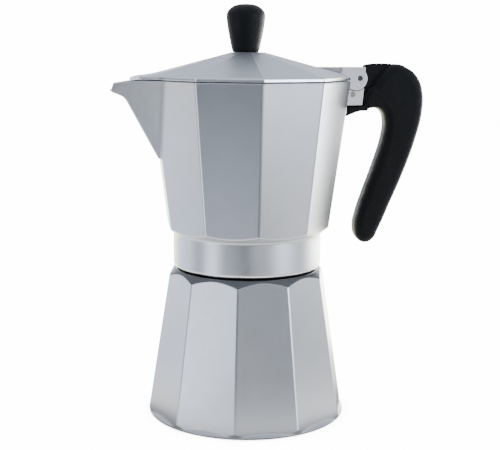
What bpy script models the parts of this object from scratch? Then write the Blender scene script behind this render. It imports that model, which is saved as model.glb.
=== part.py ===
"""Stove-top moka pot: ten-sided boiler and collector, hinged lid, black handle and knob.

Frame: +Z up, handle towards +X, spout towards -X, origin on the pot's axis at the underside.
Every length below is in millimetres; the mesh builders scale by MM, so the scene is in metres.
"""
import math

import bmesh
import bpy
from mathutils import Matrix, Vector

MM = 0.001
GAP = 0.3                 # clearance between pieces that touch
TURN = 48                 # steps of a large turned surface
TURN_SMALL = 24           # steps of a small turned surface
THREAD_TURN = 40          # steps of one thread turn

# ---- the two ten-sided castings -------------------------------------------------------------
SIDES = 10
HALF_SIDE = math.pi / SIDES
FLAT = math.cos(HALF_SIDE)            # flat radius / corner radius
BOILER_TWIST = -13.65                 # degrees the screwed-up boiler sits out of line by

BOILER_FOOT_R = 53.3                  # corner radius at the underside
BOILER_TOP_R = 41.7                   # corner radius where the turned shoulder starts
BOILER_TOP_Z = 74.7
SHOULDER_R = 38.4                     # top of the turned shoulder
SHOULDER_Z = 78.1
BOILER_FLOOR = 3.0
FOOT_R = 52.2                         # the flats and corners run into this round foot
BOILER_WALL = 2.9
NECK_TOP_Z = 96.0
NECK_BORE_R = 30.2

COLLECTOR_FOOT_R = 43.4               # corner radius at the bottom of the facets
COLLECTOR_FOOT_Z = 100.8
COLLECTOR_RIM_R = 53.3                # corner radius at the rim
RIM_Z = 176.2
COLLECTOR_WALL = 2.6
COLLAR_R = 38.9
COLLAR_TOP_Z = 97.2
COLLAR_FOOT_Z = 78.5
SEAT_Z = 100.3                        # face that presses on the gasket
FLOOR_Z = 103.2                       # inside floor of the collector

# ---- screw thread between boiler and collector -----------------------------------------------
PITCH = 3.0
THREAD_TURNS = 3
MALE_ROOT_R, MALE_CREST_R = 33.6, 34.6
FEMALE_ROOT_R, FEMALE_CREST_R = 34.95, 33.95
THREAD_START_Z = 83.6
THREAD_ROOT_W, THREAD_CREST_W = 1.55, 0.7
THREAD_ENTRY = 3.3                    # degrees round from the handle where the ridges start

# ---- inner parts ------------------------------------------------------------------------------
FUNNEL_TUBE_R = 5.6
FUNNEL_CUP_R = 29.7
FUNNEL_LIP_R = 33.2
FUNNEL_FOOT_Z = 8.0
GASKET_Z = (97.4, 100.0)
GASKET_R = (27.4, 33.6)
PLATE_R = 29.3
PLATE_T = 0.8
COLUMN_R = 6.4
COLUMN_BORE_R = 3.8
COLUMN_TOP_Z = 152.0

# ---- lid and knob -----------------------------------------------------------------------------
LID_Z = 176.7
LID_BAND_Z = 178.4
LID_TOP_Z = 190.3
LID_TOP_R = 8.2                       # flat radius of the land below the knob
LID_SLOPE = (LID_TOP_Z - LID_BAND_Z) / (COLLECTOR_RIM_R * FLAT - LID_TOP_R)
LID_SHELL = 2.3
KNOB_X = -1.4                         # the knob stands slightly off the axis, towards the spout
KNOB_Z = LID_TOP_Z + GAP
KNOB_PLUG_R = 3.5                     # pocket in the knob for its threaded insert
KNOB_PLUG_Z = 204.0
HEIGHT = 214.8

# ---- spout ------------------------------------------------------------------------------------
SPOUT_RIM = Vector((-44.7, -24.7, RIM_Z))         # where its side leaves the neighbouring flat
SPOUT_ROOT = Vector((-46.1, -14.98, 139.3))       # where its side meets the flat's corner
SPOUT_LIP = Vector((-69.8, -2.1, 169.6))          # lower corner of the pouring lip
SPOUT_CREASE = Vector((-61.8, -10.4, RIM_Z))      # start of the narrowed lip
SPOUT_TIP = Vector((-70.1, -0.8, 175.9))
SPOUT_WALL = 2.4

# ---- hinge, lug and handle --------------------------------------------------------------------
HINGE = (58.0, 177.3)                 # hinge pin, (x, z)
KEEPER = (54.2, 169.0)                # pin that keeps the handle in the lug, (x, z)
EAR_CENTRE = (55.9, 177.0)
EAR_R = 6.0
EAR_TOP_Z = 183.0
PIN_R = 1.25
LUG_HALF = 6.0                        # half width over the lug's cheeks and the lid's ears
TONGUE_HALF = 2.9                     # half width of the handle's tongue between them
BLOCK_HALF = 4.3                      # half width of the lid's block in front of the ears
GRIP_HALF = 7.0

# ---- safety valve -----------------------------------------------------------------------------
VALVE_Z = 54.0
VALVE_SIDE = 3                        # flats counted from the handle's side
VALVE_HEX_R = 6.9
VALVE_SHANK_R = 4.0
VALVE_BORE_R = 3.0
VALVE_STEM_R = 0.9

COLOURS = {
    "cast_aluminium": ((0.56, 0.58, 0.61), 0.42, 1.0),
    "turned_aluminium": ((0.66, 0.67, 0.69), 0.30, 1.0),
    "black_plastic": ((0.012, 0.013, 0.015), 0.48, 0.0),
    "steel": ((0.50, 0.50, 0.50), 0.28, 1.0),
    "brass": ((0.72, 0.52, 0.25), 0.30, 1.0),
    "rubber": ((0.70, 0.68, 0.62), 0.65, 0.0),
    "fibre": ((0.42, 0.10, 0.07), 0.75, 0.0),
}


# ---- scene and builders -----------------------------------------------------------------------
def clear_scene():
    for old in list(bpy.data.objects):
        bpy.data.objects.remove(old, do_unlink=True)


def make_collection(name):
    found = bpy.data.collections.get(name) or bpy.data.collections.new(name)
    if name not in bpy.context.scene.collection.children:
        bpy.context.scene.collection.children.link(found)
    return found


def make_material(name):
    colour, roughness, metallic = COLOURS[name]
    made = bpy.data.materials.get(name) or bpy.data.materials.new(name)
    made.use_nodes = True
    shader = made.node_tree.nodes["Principled BSDF"]
    shader.inputs["Base Color"].default_value = (*colour, 1.0)
    shader.inputs["Roughness"].default_value = roughness
    shader.inputs["Metallic"].default_value = metallic
    return made


clear_scene()
PARTS = make_collection("moka_pot")
CUTTERS = make_collection("moka_pot_cutters")


def add_object(name, mesh, finish=None):
    """A part when it has a finish, a hidden cutter or filler when it has none."""
    made = bpy.data.objects.new(name, mesh)
    if finish:
        PARTS.objects.link(made)
        mesh.materials.append(make_material(finish))
    else:
        CUTTERS.objects.link(made)
        made.hide_render = True
        made.display_type = "WIRE"
    return made


def from_bmesh(name, bm, finish=None):
    bmesh.ops.recalc_face_normals(bm, faces=bm.faces)
    mesh = bpy.data.meshes.new(name)
    bm.to_mesh(mesh)
    bm.free()
    return add_object(name, mesh, finish)


def turned(name, profile, finish=None, steps=TURN, twist=0.0, ring=False):
    """A profile of (radius, height) turned about Z; a ten-sided casting uses ten steps."""
    bm = bmesh.new()
    at = math.radians(twist)
    points = [bm.verts.new((r * MM * math.cos(at), r * MM * math.sin(at), z * MM)) for r, z in profile]
    ends = zip(points, points[1:] + points[:1]) if ring else zip(points, points[1:])
    for first, second in ends:
        bm.edges.new((first, second))
    mesh = bpy.data.meshes.new(name)
    bm.to_mesh(mesh)
    bm.free()
    made = add_object(name, mesh, finish)
    screw = made.modifiers.new("turn", "SCREW")
    screw.axis = "Z"
    screw.steps = screw.render_steps = steps
    screw.use_merge_vertices = True
    screw.merge_threshold = 0.00001
    screw.use_smooth_shade = steps > SIDES
    return made


def ten_sided(name, profile, finish=None, twist=0.0):
    """A ten-sided casting whose flats face the handle; radii are to the corners."""
    return turned(name, profile, finish, SIDES, math.degrees(HALF_SIDE) + twist)


def cylinder(name, radius, start, end, finish=None, steps=TURN_SMALL):
    """A round bar from start to end, both (x, y, z)."""
    start, end = Vector(start), Vector(end)
    bm = bmesh.new()
    turn = (end - start).to_track_quat("Z", "Y").to_matrix().to_4x4()
    place = Matrix.Translation((start + end) / 2 * MM) @ turn
    bmesh.ops.create_cone(bm, cap_ends=True, segments=steps, radius1=radius * MM, radius2=radius * MM,
                          depth=(end - start).length * MM, matrix=place)
    return from_bmesh(name, bm, finish)


def box(name, low, high, finish=None):
    low, high = Vector(low), Vector(high)
    bm = bmesh.new()
    size = Matrix.Diagonal(((high - low) * MM).to_4d())
    bmesh.ops.create_cube(bm, size=1.0, matrix=Matrix.Translation((low + high) / 2 * MM) @ size)
    return from_bmesh(name, bm, finish)


def baked(shape):
    """The shape's evaluated mesh as a new mesh, with the shape itself removed."""
    bpy.context.view_layer.update()
    seen = shape.evaluated_get(bpy.context.evaluated_depsgraph_get())
    mesh = bpy.data.meshes.new_from_object(seen)
    mesh.transform(shape.matrix_world)
    bpy.data.objects.remove(shape, do_unlink=True)
    return mesh


def plate(name, outline, half, finish=None, smooth=False, round_edge=0.0):
    """An outline of (x, z) points, extruded along Y to half on each side.

    A smooth outline is one closed curve whose points named as corners stay sharp.
    """
    curve = bpy.data.curves.new(name, "CURVE")
    curve.dimensions = "2D"
    curve.fill_mode = "BOTH"
    curve.extrude = half * MM
    curve.resolution_u = 5
    spline = curve.splines.new("BEZIER" if smooth else "POLY")
    knots = spline.bezier_points if smooth else spline.points
    knots.add(len(outline) - 1)
    for knot, place in zip(knots, outline):
        if smooth:
            knot.co = (place[0] * MM, place[1] * MM, 0)
            kind = "VECTOR" if len(place) > 2 else "AUTO"
            knot.handle_left_type = knot.handle_right_type = kind
        else:
            knot.co = (place[0] * MM, place[1] * MM, 0, 1)
    spline.use_cyclic_u = True
    guide = bpy.data.objects.new(name + "_outline", curve)
    CUTTERS.objects.link(guide)
    guide.matrix_world = Matrix.Rotation(math.pi / 2, 4, "X")
    bm = bmesh.new()
    bm.from_mesh(baked(guide))
    bmesh.ops.remove_doubles(bm, verts=bm.verts, dist=0.000001)
    bmesh.ops.dissolve_limit(bm, angle_limit=math.radians(0.5), verts=bm.verts, edges=bm.edges)
    made = from_bmesh(name, bm, finish)
    if round_edge:
        add_bevel(made, round_edge, 3, 60)
    return made


def add_bevel(shape, width, segments, angle):
    bevel = shape.modifiers.new("round_edges", "BEVEL")
    bevel.width = width * MM
    bevel.segments = segments
    bevel.limit_method = "ANGLE"
    bevel.angle_limit = math.radians(angle)


def combine(shape, operation, *others):
    for other in others:
        step = shape.modifiers.new(operation.lower() + "_" + other.name, "BOOLEAN")
        step.operation = operation
        step.solver = "EXACT"
        step.object = other


def arc(centre, radius, start, end, steps):
    """Points (x, z) on a circle from start to end, in degrees."""
    turns = [math.radians(start + (end - start) * i / steps) for i in range(steps + 1)]
    return [(centre[0] + radius * math.cos(a), centre[1] + radius * math.sin(a)) for a in turns]


def carrier(name, place, *pieces):
    """An empty on a joint's axis that its pieces hang from."""
    made = bpy.data.objects.new(name, None)
    made.empty_display_size = 0.01
    PARTS.objects.link(made)
    made.location = Vector(place) * MM
    bpy.context.view_layer.update()
    for piece in pieces:
        piece.parent = made
        piece.matrix_parent_inverse = made.matrix_world.inverted()
    return made


def thread_ridge(name, root_r, crest_r, start_z, turns):
    """One right-handed trapezoid ridge, its root sunk into the wall that carries it."""
    sunk = root_r + (0.4 if root_r > crest_r else -0.4)
    half_root, half_crest = THREAD_ROOT_W / 2, THREAD_CREST_W / 2
    section = [(sunk, half_root), (crest_r, half_crest), (crest_r, -half_crest), (sunk, -half_root)]
    bm = bmesh.new()
    at = math.radians(THREAD_ENTRY)
    points = [bm.verts.new((r * MM * math.cos(at), r * MM * math.sin(at), (start_z + z) * MM))
              for r, z in section]
    for first, second in zip(points, points[1:] + points[:1]):
        bm.edges.new((first, second))
    mesh = bpy.data.meshes.new(name)
    bm.to_mesh(mesh)
    bm.free()
    ridge = add_object(name + "_path", mesh)
    screw = ridge.modifiers.new("helix", "SCREW")
    screw.axis = "Z"
    screw.screw_offset = PITCH * MM
    screw.iterations = turns
    screw.steps = screw.render_steps = THREAD_TURN
    screw.use_merge_vertices = False
    bm = bmesh.new()
    bm.from_mesh(baked(ridge))
    bmesh.ops.holes_fill(bm, edges=bm.edges, sides=4)
    return from_bmesh(name, bm)


def holes(name, rings, radius, z):
    """A field of small round cutters: rings is (ring radius, number of holes)."""
    bm = bmesh.new()
    for ring_r, count in rings:
        for i in range(count):
            a = math.tau * (i + 0.5) / count
            place = Matrix.Translation(Vector((ring_r * math.cos(a), ring_r * math.sin(a), z)) * MM)
            bmesh.ops.create_cone(bm, cap_ends=True, segments=6, radius1=radius * MM,
                                  radius2=radius * MM, depth=4 * MM, matrix=place)
    return from_bmesh(name, bm)


def corner_radius(foot_r, foot_z, top_r, top_z, z):
    return foot_r + (top_r - foot_r) * (z - foot_z) / (top_z - foot_z)


def boiler_r(z):
    return corner_radius(BOILER_FOOT_R, 0.0, BOILER_TOP_R, BOILER_TOP_Z, z)


def collector_r(z):
    return corner_radius(COLLECTOR_FOOT_R, COLLECTOR_FOOT_Z, COLLECTOR_RIM_R, RIM_Z, z)


# ---- boiler -----------------------------------------------------------------------------------
def make_boiler(valve_hole):
    over = NECK_TOP_Z + 1
    body = ten_sided("boiler", [(0, over), (boiler_r(over), over), (boiler_r(0), 0), (0, 0)],
                     "cast_aluminium", BOILER_TWIST)
    envelope = turned("boiler_turning", [
        (0, NECK_TOP_Z), (MALE_ROOT_R - 0.8, NECK_TOP_Z), (MALE_ROOT_R, NECK_TOP_Z - 0.8),
        (MALE_ROOT_R, SHOULDER_Z), (SHOULDER_R, SHOULDER_Z), (BOILER_TOP_R, BOILER_TOP_Z), (60, 54), (60, 14),
        (FOOT_R - 0.3, 0.9), (FOOT_R - 0.3, 0.6), (0, 0.6)])
    foot = turned("boiler_foot", [(0, 0), (FOOT_R - 0.4, 0), (FOOT_R, 0.4), (FOOT_R, 1.2),
                                  (FOOT_R - 1.0, 1.8), (FOOT_R - 2.2, 2.8), (44, 3.2), (0, 3.2)])
    inside = BOILER_WALL / FLAT
    chamber = turned("boiler_chamber", [
        (0, 99), (NECK_BORE_R, 99), (NECK_BORE_R, 80.5), (boiler_r(73.5) * FLAT - inside, 73.5),
        (boiler_r(6) * FLAT - inside, 6.5), (44.5, BOILER_FLOOR), (0, BOILER_FLOOR)], twist=BOILER_TWIST)
    ridge = thread_ridge("boiler_thread", MALE_ROOT_R, MALE_CREST_R, THREAD_START_Z, THREAD_TURNS)
    combine(body, "INTERSECT", envelope)
    combine(body, "UNION", foot)
    combine(body, "DIFFERENCE", valve_hole, chamber)
    combine(body, "UNION", ridge)
    return body


# ---- safety valve: its pieces lie along the flat's outward normal -----------------------------
def valve_frame():
    lean = math.atan2((boiler_r(0) - boiler_r(BOILER_TOP_Z)) * FLAT, BOILER_TOP_Z)
    around = math.radians(VALVE_SIDE * 360 / SIDES + BOILER_TWIST)
    flat_r = boiler_r(VALVE_Z) * FLAT
    point = Vector((flat_r * math.cos(around), flat_r * math.sin(around), VALVE_Z))
    out = Vector((math.cos(lean) * math.cos(around), math.cos(lean) * math.sin(around), math.sin(lean)))
    return Matrix.Translation(point * MM) @ out.to_track_quat("Z", "Y").to_matrix().to_4x4()


def make_valve(place):
    body = turned("valve_body", [
        (0, 9.4), (4.5, 9.4), (4.5, 5.2), (VALVE_HEX_R + 2, 5.2), (VALVE_HEX_R + 2, 1.4),
        (VALVE_SHANK_R, 1.4), (VALVE_SHANK_R, -6.4), (0, -6.4)], "brass", TURN_SMALL)
    hexagon = turned("valve_hexagon", [(0, 20), (VALVE_HEX_R, 20), (VALVE_HEX_R, -20), (0, -20)], steps=6)
    bore = turned("valve_bore", [
        (0, 20), (VALVE_BORE_R, 20), (VALVE_BORE_R, -4.2), (1.4, -4.2), (1.4, -9), (0, -9)],
        steps=TURN_SMALL)
    combine(body, "INTERSECT", hexagon)
    combine(body, "DIFFERENCE", bore)
    washer = turned("valve_washer", [(6.3, 1.1), (6.3, GAP), (VALVE_SHANK_R + GAP, GAP),
                                     (VALVE_SHANK_R + GAP, 1.1)], "fibre", TURN_SMALL, ring=True)
    cap = turned("valve_cap", [
        (VALVE_BORE_R - 1.0, 10.4), (4.2, 10.4), (4.2, 9.7), (VALVE_BORE_R - GAP, 9.7),
        (VALVE_BORE_R - GAP, 8.2), (1.2, 8.2), (1.2, 10.4)], "brass", TURN_SMALL, ring=True)
    stem = turned("valve_stem", [
        (0, 13.4), (0.5, 13.4), (VALVE_STEM_R, 13.0), (VALVE_STEM_R, -2.7), (2.6, -2.7),
        (2.6, -3.9), (0, -3.9)], "steel", TURN_SMALL)
    spring = make_spring()
    for piece in (body, washer, cap, stem, spring, hexagon, bore):
        piece.matrix_world = place
    return body, washer, cap, stem, spring


def make_spring():
    coils, low, high, radius, points = 6, -2.0, 7.5, 2.1, 12
    curve = bpy.data.curves.new("valve_spring", "CURVE")
    curve.dimensions = "3D"
    curve.bevel_depth = 0.3 * MM
    curve.bevel_resolution = 1
    curve.use_fill_caps = True
    spline = curve.splines.new("POLY")
    spline.points.add(coils * points)
    for i, point in enumerate(spline.points):
        a = math.tau * i / points
        z = low + (high - low) * i / (coils * points)
        point.co = (radius * MM * math.cos(a), radius * MM * math.sin(a), z * MM, 1)
    guide = bpy.data.objects.new("valve_spring_wire", curve)
    CUTTERS.objects.link(guide)
    bm = bmesh.new()
    bm.from_mesh(baked(guide))
    bmesh.ops.remove_doubles(bm, verts=bm.verts, dist=0.000001)
    return from_bmesh("valve_spring", bm, "steel")


# ---- funnel, filters and gasket ---------------------------------------------------------------
def make_funnel():
    cup_in, tube_in = FUNNEL_CUP_R - 0.9, FUNNEL_TUBE_R - 1.0
    lip = NECK_TOP_Z + GAP
    return turned("funnel", [
        (FUNNEL_LIP_R, lip + 0.8), (FUNNEL_LIP_R, lip), (FUNNEL_CUP_R, lip), (FUNNEL_CUP_R - 0.2, 70.5),
        (FUNNEL_CUP_R - 2.2, 68.6), (9.5, 64.8), (FUNNEL_TUBE_R, 60.5), (FUNNEL_TUBE_R, FUNNEL_FOOT_Z),
        (tube_in, FUNNEL_FOOT_Z), (tube_in, 60.9), (9.0, 65.8), (25.2, 69.5), (28.3, 70.6),
        (cup_in, 71.6), (cup_in, lip + 0.8)], "turned_aluminium", ring=True)


def make_filters():
    sieve = turned("funnel_filter", [(0, 71.6), (27.6, 71.6), (27.6, 70.9), (0, 70.9)], "turned_aluminium")
    combine(sieve, "DIFFERENCE", holes("sieve_holes", [(8, 6), (16, 10), (23.5, 14)], 1.0, 71.2))
    top = SEAT_Z + PLATE_T
    upper = turned("filter_plate", [(0, top), (PLATE_R, top), (PLATE_R, SEAT_Z), (0, SEAT_Z)],
                   "turned_aluminium")
    combine(upper, "DIFFERENCE", holes("plate_holes", [(7, 6), (14, 10), (21, 16)], 1.0, SEAT_Z))
    return sieve, upper


def make_gasket():
    low, high = GASKET_Z
    inner, outer = GASKET_R
    return turned("gasket", [(outer, high), (outer, low), (inner, low), (inner, high)], "rubber", ring=True)


# ---- collector --------------------------------------------------------------------------------
def mirrored(v):
    return Vector((v.x, -v.y, v.z))


def cut_by_plane(bm, points, inside, offset=0.0):
    """Keeps the part of bm on inside's side of the plane through three points, moved inward."""
    a, b, c = points
    normal = (b - a).cross(c - a).normalized()
    if normal.dot(inside - a) > 0:
        normal.negate()
    where = (a - normal * offset) * MM
    loose = bmesh.ops.bisect_plane(bm, geom=bm.verts[:] + bm.edges[:] + bm.faces[:], dist=1e-7,
                                   plane_co=where, plane_no=normal, clear_outer=True)
    rim = [e for e in loose["geom_cut"] if isinstance(e, bmesh.types.BMEdge)]
    bmesh.ops.holes_fill(bm, edges=rim)


def spout_shape(name, outline, offset, narrowed):
    """The prow: an outline in the XZ plane, cut by its two sides and by the narrowed lip."""
    blank = plate(name + "_blank", outline, 34)
    bm = bmesh.new()
    bm.from_mesh(blank.data)
    bpy.data.objects.remove(blank, do_unlink=True)
    inside = Vector((-45, 0, 165))
    for flip in (Vector, mirrored):
        side = [flip(v) for v in (SPOUT_RIM, SPOUT_ROOT, SPOUT_LIP)]
        cut_by_plane(bm, side, inside, offset)
        if narrowed:
            cut_by_plane(bm, [flip(v) for v in (SPOUT_CREASE, SPOUT_LIP, SPOUT_TIP)], inside)
    return from_bmesh(name, bm)


def make_spout():
    front = [(-30, RIM_Z), (-70.0, RIM_Z), (-71.6, 171.0), (-70.2, 169.7), (-67.3, 168.7), (-64.8, 167.6),
             (-63.2, 165.9), (-47.2, 136.4), (-30, 136.4)]
    channel = [(-30, RIM_Z + 6), (-90, RIM_Z + 6), (-90, 174.6), (-66.5, 171.0), (-62.0, 169.0),
               (-59.6, 165.6), (-47.0, 142.4), (-30, 142.4)]
    prow = spout_shape("spout_prow", front, 0.0, True)
    trough = spout_shape("spout_channel", channel, SPOUT_WALL, False)
    notch = box("spout_notch", (-80, -1.3, 172.4), (-64, 1.3, 190))
    return prow, trough, notch


def make_collector():
    body = ten_sided("collector", [
        (0, RIM_Z), (COLLECTOR_RIM_R, RIM_Z), (collector_r(98.5), 98.5), (COLLECTOR_FOOT_R + 3, 96.5),
        (COLLECTOR_FOOT_R + 3, 70), (0, 70)], "cast_aluminium")
    envelope = turned("collector_turning", [
        (0, 200), (80, 200), (80, 126.1), (COLLAR_R, COLLAR_TOP_Z), (COLLAR_R, COLLAR_FOOT_Z + 2.2),
        (COLLAR_R - 0.35, COLLAR_FOOT_Z + 1.2), (COLLAR_R - 1.1, COLLAR_FOOT_Z + 0.45),
        (COLLAR_R - 2.2, COLLAR_FOOT_Z), (0, COLLAR_FOOT_Z)])
    wall = COLLECTOR_WALL / FLAT
    cavity = ten_sided("collector_cavity", [
        (0, RIM_Z + 5), (collector_r(RIM_Z + 5) - wall, RIM_Z + 5),
        (collector_r(FLOOR_Z + 3) - wall, FLOOR_Z + 3), (collector_r(FLOOR_Z) - wall - 3, FLOOR_Z),
        (0, FLOOR_Z)])
    floor_cone = turned("collector_floor_cone", [
        (0, 112), (8.9, 112), (9.6, 109.6), (27, FLOOR_Z - 0.5), (27, FLOOR_Z - 1.5), (0, FLOOR_Z - 1.5)])
    under = turned("collector_underside", [
        (0, 120), (COLUMN_R + GAP, 120), (COLUMN_R + GAP, 106.2), (25.5, SEAT_Z + 1.3),
        (PLATE_R + 0.5, SEAT_Z + 1.1), (PLATE_R + 0.5, SEAT_Z), (FEMALE_CREST_R, SEAT_Z),
        (FEMALE_CREST_R, 96.4), (FEMALE_ROOT_R, 95.4), (FEMALE_ROOT_R, 70), (0, 70)])
    ridge = thread_ridge("collector_thread", FEMALE_ROOT_R, FEMALE_CREST_R,
                         THREAD_START_Z - PITCH / 2, THREAD_TURNS)
    prow, trough, notch = make_spout()
    lug = plate("collector_lug", [(45, 163.3), (59.4, 163.3), (60.3, 172.4), (60.3, 174), (45, 174)],
                LUG_HALF)
    slot = box("lug_slot", (51.0, -TONGUE_HALF - GAP, 155), (70, TONGUE_HALF + GAP, 190))
    relief = cylinder("ear_relief", EAR_R + 0.4, (EAR_CENTRE[0], -LUG_HALF - GAP, EAR_CENTRE[1]),
                      (EAR_CENTRE[0], LUG_HALF + GAP, EAR_CENTRE[1]), steps=32)
    pin_hole = cylinder("keeper_hole", PIN_R + GAP, (KEEPER[0], -20, KEEPER[1]), (KEEPER[0], 20, KEEPER[1]),
                        steps=16)
    combine(body, "INTERSECT", envelope)
    combine(body, "UNION", prow, lug)
    combine(body, "DIFFERENCE", cavity, trough, notch, slot, relief, pin_hole)
    combine(body, "UNION", floor_cone)
    combine(body, "DIFFERENCE", under)
    combine(body, "UNION", ridge)
    return body


def make_column():
    body = turned("column", [
        (0, COLUMN_TOP_Z), (3.6, COLUMN_TOP_Z - 0.4), (5.2, COLUMN_TOP_Z - 2.0), (COLUMN_R - 0.6, 147),
        (COLUMN_R, 113), (COLUMN_R, 106.6), (COLUMN_BORE_R, 106.6), (COLUMN_BORE_R - 0.4, 148.0),
        (2.2, 149.6), (0, 149.6)], "cast_aluminium", TURN_SMALL)
    slots = box("column_slots", (-10, -1.8, 142.0), (10, 1.8, 147.5))
    combine(body, "DIFFERENCE", slots)
    return body


# ---- lid, knob and their fasteners ------------------------------------------------------------
def ear_outline():
    cx = EAR_CENTRE[0]
    corner = math.degrees(math.acos((60.8 - cx) / EAR_R))
    shoulder = arc(EAR_CENTRE, 8.6, 135.8, 172, 4)
    return ([(60.8, EAR_TOP_Z)] + shoulder + [(cx - 8.5, LID_Z)]
            + arc(EAR_CENTRE, EAR_R, 183, 360 + corner, 14))


def make_lid():
    corner = COLLECTOR_RIM_R
    body = ten_sided("lid", [(0, LID_TOP_Z), (LID_TOP_R / FLAT, LID_TOP_Z), (corner, LID_BAND_Z),
                             (corner, LID_Z), (0, LID_Z)], "cast_aluminium")
    cover = make_spout_cover("lid_spout_cover")
    block = plate("lid_block", [(31, 181.5), (36, EAR_TOP_Z), (50.2, EAR_TOP_Z), (50.2, 178.6), (31, 178.6)],
                  BLOCK_HALF)
    inner = corner - 3.2
    drop = LID_SHELL
    hollow = ten_sided("lid_hollow", [
        (0, LID_TOP_Z - drop), (LID_TOP_R / FLAT, LID_TOP_Z - drop),
        (inner, LID_TOP_Z - drop - (inner * FLAT - LID_TOP_R) * LID_SLOPE), (inner, LID_Z - 1),
        (0, LID_Z - 1)])
    ears = plate("lid_ears", ear_outline(), LUG_HALF)
    slot = plate("lid_slot", [(50.4, 165), (50.4, LID_Z), (48.6, 184), (48.6, 195), (75, 195), (75, 165)],
                 TONGUE_HALF + GAP)
    pin_hole = cylinder("hinge_hole", PIN_R + GAP, (HINGE[0], -20, HINGE[1]), (HINGE[0], 20, HINGE[1]),
                        steps=16)
    screw_hole = cylinder("knob_screw_hole", 2.1, (KNOB_X, 0, 170), (KNOB_X, 0, 200), steps=16)
    combine(body, "UNION", cover, block)
    combine(body, "DIFFERENCE", hollow)
    combine(body, "UNION", ears)
    combine(body, "DIFFERENCE", slot, pin_hole, screw_hole)
    return body


def make_spout_cover(name):
    """The lid's beak: it carries the spout's side planes up to a blunt front."""
    outline = [(-30, LID_Z), (-30, 184.5), (-44, 180.3), (-61.4, 178.7), (-61.6, LID_Z)]
    blank = plate(name + "_blank", outline, 34)
    bm = bmesh.new()
    bm.from_mesh(blank.data)
    bpy.data.objects.remove(blank, do_unlink=True)
    inside = Vector((-40, 0, 178))
    for flip in (Vector, mirrored):
        side = [flip(v) for v in (SPOUT_RIM, SPOUT_ROOT, SPOUT_LIP)]
        nose = [flip(Vector(v)) for v in ((-56.5, -15.0, LID_Z), (-61.5, 0, LID_Z), (-61.3, 0, LID_Z + 5))]
        roof = [flip(Vector(v)) for v in ((-44, 0, 180.3), (-61.4, 0, 178.7), (-56.5, -15.0, 178.2))]
        for plane in (side, nose, roof):
            cut_by_plane(bm, plane, inside)
    return from_bmesh(name, bm)


def make_knob():
    top = HEIGHT
    body = turned("knob", [
        (0, top), (3.4, top - 0.25), (5.9, top - 1.0), (8.3, top - 2.6), (9.65, top - 4.5),
        (10.0, top - 6.8), (9.7, top - 9.8), (8.8, top - 15.4), (7.1, KNOB_Z + 0.9), (6.5, KNOB_Z),
        (0, KNOB_Z)], "black_plastic", 32)
    pocket = cylinder("knob_pocket", KNOB_PLUG_R, (KNOB_X, 0, 180), (KNOB_X, 0, KNOB_PLUG_Z))
    insert_top = KNOB_PLUG_Z - 0.4
    insert = turned("knob_insert", [(3.2, insert_top), (3.2, KNOB_Z + 0.2), (1.9, KNOB_Z + 0.2),
                                    (1.9, insert_top)], "brass", TURN_SMALL, ring=True)
    under = LID_TOP_Z - LID_SHELL
    washer = turned("knob_washer", [(4.9, under - GAP), (4.9, under - 1.1), (1.9, under - 1.1),
                                    (1.9, under - GAP)], "steel", TURN_SMALL, ring=True)
    head = under - 1.4
    tip = KNOB_PLUG_Z - 2.5
    screw = turned("knob_screw", [
        (0, tip), (1.2, tip), (1.6, tip - 0.5), (1.6, head), (3.6, head), (3.6, head - 1.4),
        (2.6, head - 2.4), (0, head - 2.4)], "steel", TURN_SMALL)
    for piece in (body, insert, washer, screw):
        piece.location.x = KNOB_X * MM
    combine(body, "DIFFERENCE", pocket)
    slot = box("screw_slot", (KNOB_X - 5, -0.45, head - 5), (KNOB_X + 5, 0.45, head - 1.4))
    combine(screw, "DIFFERENCE", slot)
    return body, insert, washer, screw


# ---- handle and pins --------------------------------------------------------------------------
def make_handle():
    corner = True
    grip = [(48.75, 156.6, corner), (49.4, 162.7, corner), (60.2, 162.7, corner), (61.2, 167.9, corner),
            (64.2, 172.5), (67.8, 177.7), (72.5, 182.6), (77.4, 184.7), (84.3, 182.6), (89.9, 177.5),
            (92.6, 169.5), (92.6, 159.5), (89.7, 146.4), (83.5, 128.3), (76.2, 110.8), (70.3, 97.2),
            (67.3, 91.8), (62.9, 90.0), (58.9, 92.5), (57.2, 98.5), (58.4, 106.0), (62.2, 117.8),
            (67.5, 132.8), (71.7, 147.5), (72.3, 154.5), (70.5, 160.0), (66.6, 162.1), (59.5, 160.6)]
    body = plate("handle", grip, GRIP_HALF, "black_plastic", smooth=True, round_edge=2.6)
    tongue = ([(51.5, 160.0), (51.5, 174.9)] + arc(HINGE, 6.9, 200, 127.1, 6)
              + [(60.9, 182.8), (61.5, 184.2), (65.0, 184.8), (69.5, 185.0), (74.0, 184.6), (79.0, 182.0),
                 (79.0, 178.0), (66.0, 163.0), (60.0, 161.5)])
    combine(body, "UNION", plate("handle_tongue", tongue, TONGUE_HALF))
    bores = [cylinder(name, PIN_R + GAP, (at[0], -20, at[1]), (at[0], 20, at[1]), steps=16)
             for name, at in (("handle_hinge_hole", HINGE), ("handle_keeper_hole", KEEPER))]
    combine(body, "DIFFERENCE", *bores)
    return body


def make_pin(name, at, half):
    return cylinder(name, PIN_R, (at[0], -half, at[1]), (at[0], half, at[1]), "steel", 16)


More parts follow.
